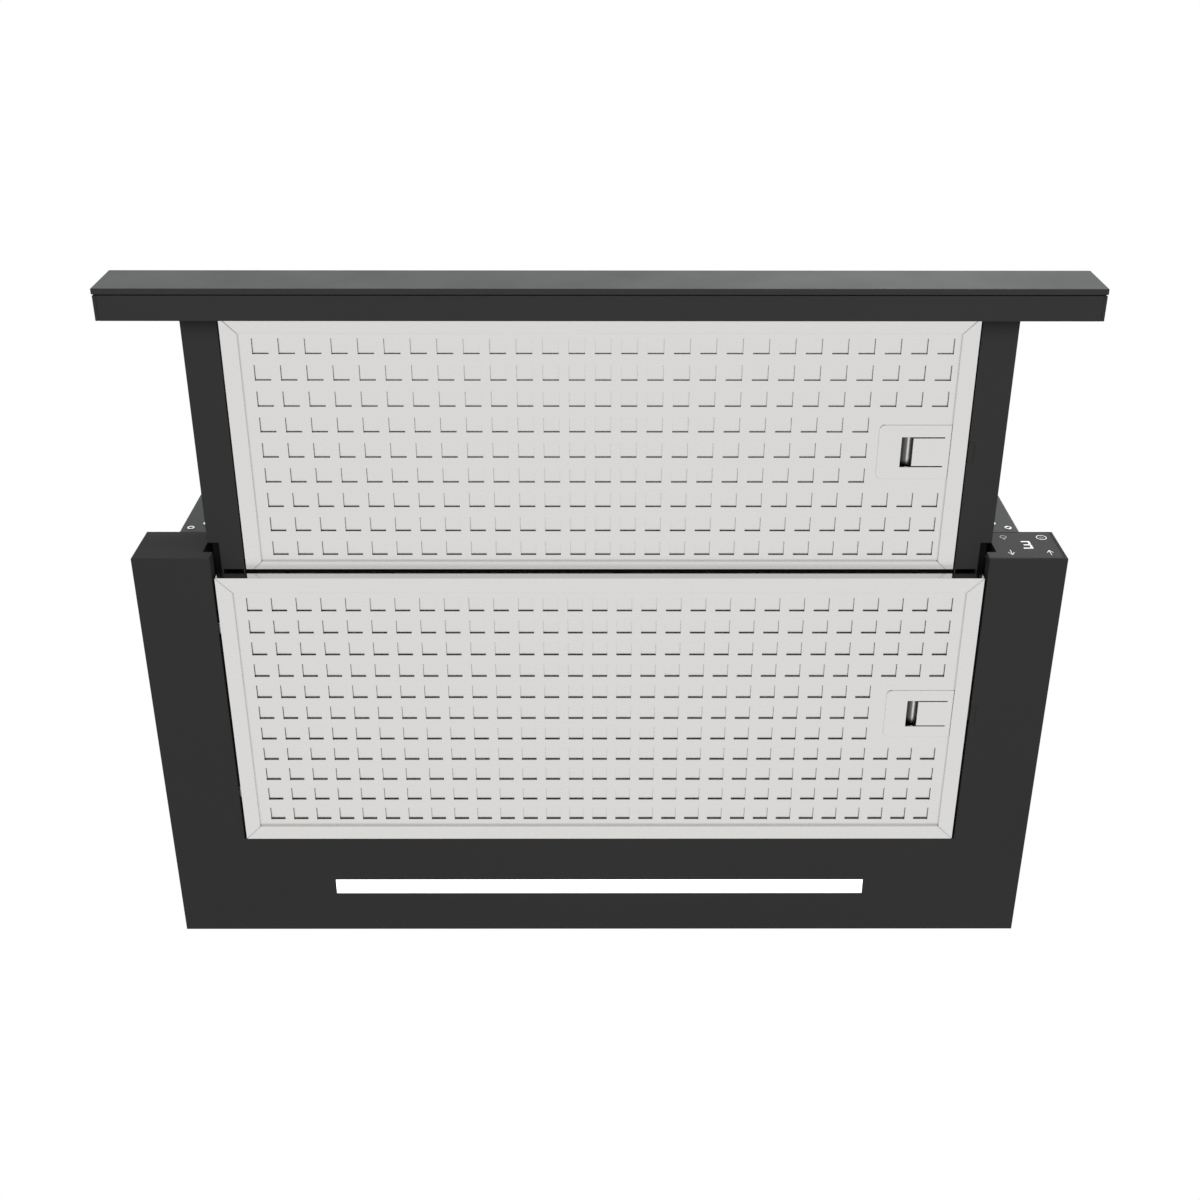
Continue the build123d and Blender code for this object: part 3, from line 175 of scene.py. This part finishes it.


# Materials. Painted shade leaves the recesses of a plated piece this share as bright as the rest

RECESS_SHADE = 0.03


def powder_coat(name, colour, roughness=0.55, specular=0.05, peel=0.02, painted_underside=None):
    """Powder-coated steel: fine orange peel, uneven gloss and, if given, painted sheen: faces that look down
    get the given darker tone, the others the lighter colour.
    """
    material, tree, surface = shader(name)
    coat = shades(tree, noise(tree, scale=6, detail=2), colour, darkest=0.97, lightest=1.03)
    if painted_underside:
        # Painted sheen: faces looking down get the darker underside tone, all others the lighter colour
        faces_down = spread(tree, facing(tree, "Z"), low=1, high=0, low_at=-0.95, high_at=-0.7)
        coat = blend(tree, "RGBA", faces_down, coat, (*painted_underside, 1))
    gloss = uneven(tree, noise(tree, scale=25, detail=3), roughness, smoother=0.04, rougher=0.04)
    wire(tree, surface, {"Base Color": coat, "Roughness": gloss, "Specular IOR Level": specular})
    bump(tree, surface, noise(tree, scale=900, detail=2), strength=0.25, depth=peel)
    return material


def brushed_steel(name, colour, roughness, wall_roughness):
    """Steel brushed along X: long fine streaks in colour, gloss and height, and smoother walls across Y."""
    material, tree, surface = shader(name)
    streaks = noise(tree, scale=6, detail=5, stretch=(3, 260, 260), roughness=0.65)
    brushed = uneven(tree, streaks, roughness, smoother=0.05, rougher=0.07)
    side = node(tree, "ShaderNodeMath", operation="ABSOLUTE")
    wire(tree, side, {0: facing(tree, "Y")})
    on_walls = spread(tree, side.outputs[0], low=0, high=1, low_at=0.7, high_at=0.9)
    gloss = blend(tree, "FLOAT", on_walls, brushed, wall_roughness)
    steel = shades(tree, streaks, colour, darkest=0.97, lightest=1.03)
    wire(tree, surface, {"Base Color": steel, "Roughness": gloss, "Metallic": 1.0})
    bump(tree, surface, streaks, strength=0.12, depth=0.02)
    return material


def plain_metal(name, colour, roughness, painted_shade_reach=None):
    """Plated metal with a faint crystalline mottle and, if given, painted shade in recesses up to so many
    millimetres wide.
    """
    material, tree, surface = shader(name)
    mottle = noise(tree, scale=120, detail=4)
    tone = shades(tree, mottle, colour, darkest=0.9, lightest=1.08)
    if painted_shade_reach:
        # Painted shade: ambient occlusion darkens the colour in recesses
        recess = node(tree, "ShaderNodeAmbientOcclusion", Distance=painted_shade_reach * MM)
        in_open = spread(tree, recess.outputs["AO"], low=0, high=1, low_at=0.45, high_at=0.9)
        tone = blend(tree, "RGBA", in_open, (*scaled(colour, RECESS_SHADE), 1), tone)
    gloss = uneven(tree, mottle, roughness, smoother=0.06, rougher=0.08)
    wire(tree, surface, {"Base Color": tone, "Roughness": gloss, "Metallic": 1.0})
    bump(tree, surface, noise(tree, scale=700, detail=2), strength=0.1, depth=0.02)
    return material


# Painted reflection: places across a rolled channel, from facing -X at 0 to facing +X at 1, and their
# brightness
TROUGH_REFLECTION_TONES = [(0.08, 0.5), (0.15, 0.5), (0.21, 0.7), (0.27, 0.8), (0.33, 0.6), (0.39, 0.22), (0.45, 0.12),
                (0.62, 0.1), (1.0, 0.1)]


def painted_trough_steel(name, roughness):
    """Polished steel with a painted reflection: its colour follows the curve across X, as a rolled channel
    would mirror its surroundings.
    """
    material, tree, surface = shader(name)
    ramp = node(tree, "ShaderNodeValToRGB")
    points = ramp.color_ramp.elements
    points[0].position = TROUGH_REFLECTION_TONES[0][0]
    points[1].position = TROUGH_REFLECTION_TONES[-1][0]
    for place, _ in TROUGH_REFLECTION_TONES[1:-1]:
        points.new(place)
    for point, (_, tone) in zip(points, TROUGH_REFLECTION_TONES):
        point.color = (tone, tone, tone, 1)
    # The painted reflection and shade follow where the face looks along X
    across = spread(tree, facing(tree, "X"), low=0, high=1, low_at=-1, high_at=1)
    wire(tree, ramp, {"Fac": across})
    streaks = noise(tree, scale=8, detail=4, stretch=(200, 3, 200))
    gloss = uneven(tree, streaks, roughness, smoother=0.05, rougher=0.08)
    wire(tree, surface, {"Base Color": ramp.outputs["Color"], "Roughness": gloss, "Metallic": 1.0})
    bump(tree, surface, streaks, strength=0.15, depth=0.02)
    return material


def moulded(name, colour, roughness=0.5):
    """Moulded plastic or rubber with a fine texture."""
    material, tree, surface = shader(name)
    tone = shades(tree, noise(tree, scale=15, detail=2), colour, darkest=0.92, lightest=1.08)
    gloss = uneven(tree, noise(tree, scale=60, detail=3), roughness, smoother=0.06, rougher=0.06)
    wire(tree, surface, {"Base Color": tone, "Roughness": gloss})
    bump(tree, surface, noise(tree, scale=1400, detail=2), strength=0.3, depth=0.03)
    return material


def lit_lens(name, colour, strength):
    """Opal lens, lit from behind almost evenly."""
    material, tree, surface = shader(name)
    cloud = noise(tree, scale=30, detail=2)
    lens = shades(tree, cloud, colour, darkest=0.97)
    light = shades(tree, cloud, colour, darkest=0.98)
    wire(tree, surface, {"Base Color": lens, "Roughness": 0.35})
    wire(tree, surface, {"Emission Color": light, "Emission Strength": strength})
    return material


def printed(name, colour, strength):
    """Printed or lit mark on the panel."""
    material, tree, surface = shader(name)
    ink = shades(tree, noise(tree, scale=400, detail=2), colour, darkest=0.96)
    wire(tree, surface, {"Base Color": ink, "Roughness": 0.4})
    wire(tree, surface, {"Emission Color": ink, "Emission Strength": strength})
    return material


CHARCOAL = (0.034, 0.034, 0.034)
# On the trim this grey is painted sheen, set on all faces but those that look down, which stay charcoal
TRIM_SHEEN_GREY = (0.067, 0.07, 0.069)
PANEL_GREY = (0.046, 0.046, 0.047)
HOUSING_GREY = (0.08, 0.084, 0.083)
SLIDE_BLACK = (0.012, 0.012, 0.012)
FILTER_STEEL = (0.72, 0.712, 0.7)
ZINC = (0.75, 0.75, 0.74)
MOTOR_STEEL = (0.55, 0.55, 0.55)
SHAFT_STEEL = (0.6, 0.6, 0.61)
BRACKET_STEEL = (0.5, 0.51, 0.52)
BLOWER_BLACK = (0.03, 0.03, 0.032)
DUCT_BLACK = (0.025, 0.025, 0.027)
RUBBER_BLACK = (0.015, 0.015, 0.015)
MAGNET_BLACK = (0.03, 0.03, 0.03)
ELECTRIC_GREY = (0.06, 0.06, 0.062)
BOARD_GREEN = (0.01, 0.09, 0.03)
WHITE = (1.0, 1.0, 1.0)
MARK_WHITE = (0.9, 0.9, 0.9)
MARK_GREY = (0.6, 0.6, 0.6)

SLOT_MATERIALS = {
    "body_paint": powder_coat("body_paint", CHARCOAL),
    "drawer_paint": powder_coat("drawer_paint", CHARCOAL),
    "bar_paint": powder_coat("bar_paint", CHARCOAL),
    # Trim: painted sheen, lighter grey on all faces but those looking down
    "trim_paint": powder_coat("trim_paint", TRIM_SHEEN_GREY, roughness=0.4, specular=0.08, painted_underside=CHARCOAL),
    "panel_gloss": powder_coat("panel_gloss", PANEL_GREY, roughness=0.35, peel=0.005),
    "housing_paint": powder_coat("housing_paint", HOUSING_GREY, roughness=0.5),
    "filter_steel": brushed_steel("filter_steel", FILTER_STEEL, roughness=0.25, wall_roughness=0.14),
    # Latch: painted reflection streak and painted shade across its rolled grip
    "latch_steel": painted_trough_steel("latch_steel", roughness=0.3),
    "slide_black": powder_coat("slide_black", SLIDE_BLACK, roughness=0.5),
    # Screws: painted shade in recesses up to 2 mm wide
    "screw_zinc": plain_metal("screw_zinc", ZINC, roughness=0.28, painted_shade_reach=2),
    "blower_plastic": moulded("blower_plastic", BLOWER_BLACK),
    "duct_plastic": moulded("duct_plastic", DUCT_BLACK),
    "motor_steel": plain_metal("motor_steel", MOTOR_STEEL, roughness=0.4),
    "shaft_steel": plain_metal("shaft_steel", SHAFT_STEEL, roughness=0.2),
    "bracket_steel": plain_metal("bracket_steel", BRACKET_STEEL, roughness=0.38),
    "rubber": moulded("rubber", RUBBER_BLACK, roughness=0.75),
    "lamp_lens": lit_lens("lamp_lens", WHITE, strength=1.0),
    "board_green": moulded("board_green", BOARD_GREEN, roughness=0.35),
    "electric_plastic": moulded("electric_plastic", ELECTRIC_GREY),
    "magnet": moulded("magnet", MAGNET_BLACK, roughness=0.6),
}
WHITE_MARK = printed("white_mark", MARK_WHITE, strength=0.1)
GREY_MARK = printed("grey_mark", MARK_GREY, strength=0.0)


# Edges. Each radius, in millimetres, comes with the pieces whose edges have it

EDGE_RADII = [
    (0.22, ("fixed_filter_frame", "drawer_filter_frame")),
    (0.25, ("control_panel",)),
    (0.3, ("front_trim", "fixed_filter_latch_plate", "drawer_filter_latch_plate")),
    (0.3, ("housing_side_left", "housing_side_right", "housing_top", "housing_front_plate")),
    (0.35, ("base_frame", "drawer_frame", "front_plate_screws", "collar_screws", "base_screws")),
    (0.4, ("front_bar", "bar_cap_left", "bar_cap_right", "outlet_collar")),
    (0.6, ("scroll_left", "scroll_right")),
    (0.8, ("power_box", "led_driver")),
    (1.0, ("motor",)),
]
WELD_GAP = 0.005
FLAT_ANGLE = math.radians(0.5)
EDGE_ANGLE = math.radians(40)
EDGE_STEPS = 2


def coat_pieces():
    """Every piece gets its slot's material."""
    slots = {part["node"]: part["material_slot"] for part in frame["record"]["subparts"]}
    for name, body in NODES.items():
        body.data.materials.clear()
        body.data.materials.append(SLOT_MATERIALS[slots[name]])


def round_piece(name, radius):
    """Rounds a piece's edges. The housing's flat faces are merged first, so that they shade evenly."""
    body = NODES[name]
    weld = body.modifiers.new("weld", "WELD")
    weld.merge_threshold = WELD_GAP * MM
    if name.startswith("housing"):
        flat = body.modifiers.new("flat", "DECIMATE")
        flat.decimate_type = "DISSOLVE"
        flat.angle_limit = FLAT_ANGLE
    rounding = body.modifiers.new("rounding", "BEVEL")
    rounding.width = radius * MM
    rounding.segments = EDGE_STEPS
    rounding.limit_method = "ANGLE"
    rounding.angle_limit = EDGE_ANGLE
    rounding.use_clamp_overlap = False
    rounding.harden_normals = True


def round_edges():
    """Rounds the edges of every piece that has a radius."""
    for radius, names in EDGE_RADII:
        for name in names:
            round_piece(name, radius)


# Marks on the control panel, in millimetres. A key's place is its centre's X and Z

PANEL_FACE = -299.5
MARK_PROUD = 0.06
UP_KEY = (290.7, 8.85)
DOWN_KEY = (265.6, 9.55)
POWER_KEY = (290.65, 31.95)
LAMP_KEY = (265.6, 32.05)
DIGIT_PLACE = (278.45, 20.6)
ARROW_W = 3.9
ARROW_H = 7.0
ARROW_LINE = 0.45
SHAFT_END = 0.46 * ARROW_H
BARB_END = 0.02 * ARROW_H
POWER_RING = 3.2
POWER_RING_STEPS = 40
POWER_RING_LINE = 0.5
POWER_SIGN = 1.1
POWER_SIGN_STEPS = 20
POWER_SIGN_LINE = 0.16
POWER_GAP_FROM = 50
POWER_GAP_TO = 130
POWER_TICK = [(0.0, 0.4), (0.0, 1.8)]
BULB = 1.95
BULB_STEPS = 30
BULB_MIDDLE = (0.1, 0.75)
BULB_LINE = 0.4
SOCKET_LINE = 0.45
SOCKET_BARS = [(0.6, -2.1), (0.4, -2.9)]
DIGIT_BARS = [
    ((-2.9, 4.9), (2.8, 4.9), 1.5),
    ((2.15, 4.1), (2.15, 0.5), 1.5),
    ((-2.2, 0.0), (2.0, 0.0), 1.4),
    ((2.2, -0.5), (2.25, -4.1), 1.5),
    ((-3.3, -4.9), (3.0, -4.9), 1.5),
]
MITRE_LIMIT = 0.3


def arc(radius, start, end, steps, middle=(0.0, 0.0)):
    """Points along an arc, its angles in degrees."""
    points = []
    for step in range(steps + 1):
        turn = math.radians(start + (end - start) * step / steps)
        points.append((middle[0] + radius * math.cos(turn), middle[1] + radius * math.sin(turn)))
    return points


def ring(radius, steps, middle=(0.0, 0.0)):
    """Points around a circle, each once."""
    return arc(radius, 0, 360, steps, middle)[:-1]


def band(points, width, closed):
    """A flat band of even width along a line of points, as corner pairs."""
    count = len(points)
    pairs = []
    for index, point in enumerate(points):
        before = points[index - 1] if index > 0 or closed else None
        after = points[(index + 1) % count] if index < count - 1 or closed else None
        normals = []
        for a, b in ((before, point), (point, after)):
            if a is None or b is None:
                continue
            run = Vector((b[0] - a[0], b[1] - a[1])).normalized()
            normals.append(Vector((-run.y, run.x)))
        middle = sum(normals, Vector((0, 0))).normalized()
        reach = width / 2 / max(MITRE_LIMIT, middle.dot(normals[0]))
        spot = Vector(point)
        pairs.append((spot + middle * reach, spot - middle * reach))
    return pairs


def add_band(mesh, pairs, closed, centre):
    """Makes a band on the panel's face, MARK_PROUD thick, with its ends closed."""
    rows = []
    for pair in pairs:
        row = []
        for corner in pair:
            x = (centre[0] + corner.x) * MM
            z = (centre[1] + corner.y) * MM
            row.append([mesh.verts.new((x, y * MM, z)) for y in (PANEL_FACE - MARK_PROUD, PANEL_FACE)])
        rows.append(row)
    count = len(rows)
    for index in range(count if closed else count - 1):
        here = rows[index]
        there = rows[(index + 1) % count]
        for face in ((here[0][0], there[0][0], there[1][0], here[1][0]),
                     (here[0][0], here[0][1], there[0][1], there[0][0]),
                     (there[1][0], there[1][1], here[1][1], here[1][0]),
                     (here[0][1], here[1][1], there[1][1], there[0][1])):
            mesh.faces.new(face)
    if not closed:
        for row, flipped in ((rows[0], False), (rows[-1], True)):
            corners = [row[0][0], row[1][0], row[1][1], row[0][1]]
            mesh.faces.new(corners[::-1] if flipped else corners)


def mark(name, lines, centre, material):
    """One mark of the panel, from its lines: the points, the width and whether the line is closed."""
    mesh = bmesh.new()
    for points, width, closed in lines:
        add_band(mesh, band(points, width, closed), closed, centre)
    bmesh.ops.recalc_face_normals(mesh, faces=mesh.faces)
    data = bpy.data.meshes.new(name)
    mesh.to_mesh(data)
    mesh.free()
    piece = bpy.data.objects.new(name, data)
    bpy.context.scene.collection.objects.link(piece)
    data.materials.append(material)
    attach(piece, "hood")


def arrow(way):
    """An arrow's shaft and head, upwards for 1 and downwards for -1."""
    shaft = [(0, -way * ARROW_H / 2), (0, way * SHAFT_END)]
    head = [(-ARROW_W / 2, way * BARB_END), (0, way * ARROW_H / 2), (ARROW_W / 2, way * BARB_END)]
    return [(shaft, ARROW_LINE, False), (head, ARROW_LINE, False)]


def panel_marks():
    """Up and down keys, power key, lamp key and the speed digit."""
    mark("mark_up", arrow(1), UP_KEY, WHITE_MARK)
    mark("mark_down", arrow(-1), DOWN_KEY, WHITE_MARK)
    sign = arc(POWER_SIGN, POWER_GAP_TO - 360, POWER_GAP_FROM, POWER_SIGN_STEPS)
    power = [(ring(POWER_RING, POWER_RING_STEPS), POWER_RING_LINE, True),
             (sign, POWER_SIGN_LINE, False),
             (POWER_TICK, POWER_SIGN_LINE, False)]
    mark("mark_power", power, POWER_KEY, WHITE_MARK)
    bulb = [(ring(BULB, BULB_STEPS, BULB_MIDDLE), BULB_LINE, True)]
    bulb += [([(-half, z), (half, z)], SOCKET_LINE, False) for half, z in SOCKET_BARS]
    mark("mark_lamp", bulb, LAMP_KEY, GREY_MARK)
    digit = [([start, end], width, False) for start, end, width in DIGIT_BARS]
    mark("speed_digit", digit, DIGIT_PLACE, WHITE_MARK)


# Room and light, in metres and watts

FLOOR_AT = (0, -0.2, -1.35)
FLOOR_SIZE = 14
FLOOR_LEVEL = 0.84
FLOOR_DARK_LEVEL = 0.8
FLOOR_ROUGHNESS = 0.8
SKY_LEVEL = 0.55


def mix_in(tree, when, usual, other, output):
    """Shows another shader where a factor is 1 and the usual one elsewhere."""
    mix = node(tree, "ShaderNodeMixShader")
    wire(tree, mix, {"Fac": when, 1: usual, 2: other})
    wire(tree, output, {"Surface": mix.outputs[0]})


def room():
    """Pale floor under the hood, which metal reflects as white."""
    bpy.ops.mesh.primitive_plane_add(size=FLOOR_SIZE, location=FLOOR_AT)
    floor = bpy.context.object
    floor.name = "floor"
    material, tree, surface = shader("floor_paint")
    paint = shades(tree, noise(tree, scale=3, detail=3), WHITE, FLOOR_DARK_LEVEL, FLOOR_LEVEL)
    wire(tree, surface, {"Base Color": paint, "Roughness": FLOOR_ROUGHNESS})
    path = node(tree, "ShaderNodeLightPath")
    white = node(tree, "ShaderNodeEmission", Color=(*WHITE, 1), Strength=1.0)
    output = tree.nodes["Material Output"]
    mix_in(tree, path.outputs["Is Glossy Ray"], surface.outputs[0], white.outputs[0], output)
    floor.data.materials.append(material)


def world():
    """White to the camera and to reflections, and a softer level for the light itself."""
    sky = bpy.data.worlds.new("world")
    bpy.context.scene.world = sky
    sky.use_nodes = True
    tree = sky.node_tree
    tree.nodes.clear()
    output = node(tree, "ShaderNodeOutputWorld")
    path = node(tree, "ShaderNodeLightPath")
    seen = path.outputs["Is Camera Ray"]
    for ray in ("Is Transmission Ray", "Is Glossy Ray"):
        either = node(tree, "ShaderNodeMath", operation="MAXIMUM")
        wire(tree, either, {0: seen, 1: path.outputs[ray]})
        seen = either.outputs[0]
    lit = node(tree, "ShaderNodeBackground", Color=(*WHITE, 1), Strength=SKY_LEVEL)
    white = node(tree, "ShaderNodeBackground", Color=(*WHITE, 1), Strength=1.0)
    mix_in(tree, seen, lit.outputs[0], white.outputs[0], output)


def lamp(name, at, aim, size, power, mirrored=True):
    """Area light from one place towards another, with or without its image in shiny faces."""
    data = bpy.data.lights.new(name, "AREA")
    data.shape = "RECTANGLE"
    data.size = size[0]
    data.size_y = size[1]
    data.energy = power
    light = bpy.data.objects.new(name, data)
    light.location = at
    light.rotation_euler = (Vector(aim) - Vector(at)).to_track_quat("-Z", "Y").to_euler()
    light.visible_glossy = mirrored
    bpy.context.scene.collection.objects.link(light)


def lights():
    """A key light on the right, a broad one from below and a large one behind and above."""
    lamp("key", at=(1.1, -1.5, 0.15), aim=(0, -0.3, 0.02), size=(0.8, 0.8), power=13)
    lamp("low", at=(0, -1.3, -1.15), aim=(0, -0.25, 0), size=(1.4, 1.0), power=13.5, mirrored=False)
    lamp("top", at=(0.5, 0.3, 1.9), aim=(0, -0.2, 0.1), size=(2.0, 2.0), power=16)


camera()
coat_pieces()
round_edges()
panel_marks()
room()
world()
lights()
bpy.context.scene.view_settings.view_transform = "Standard"
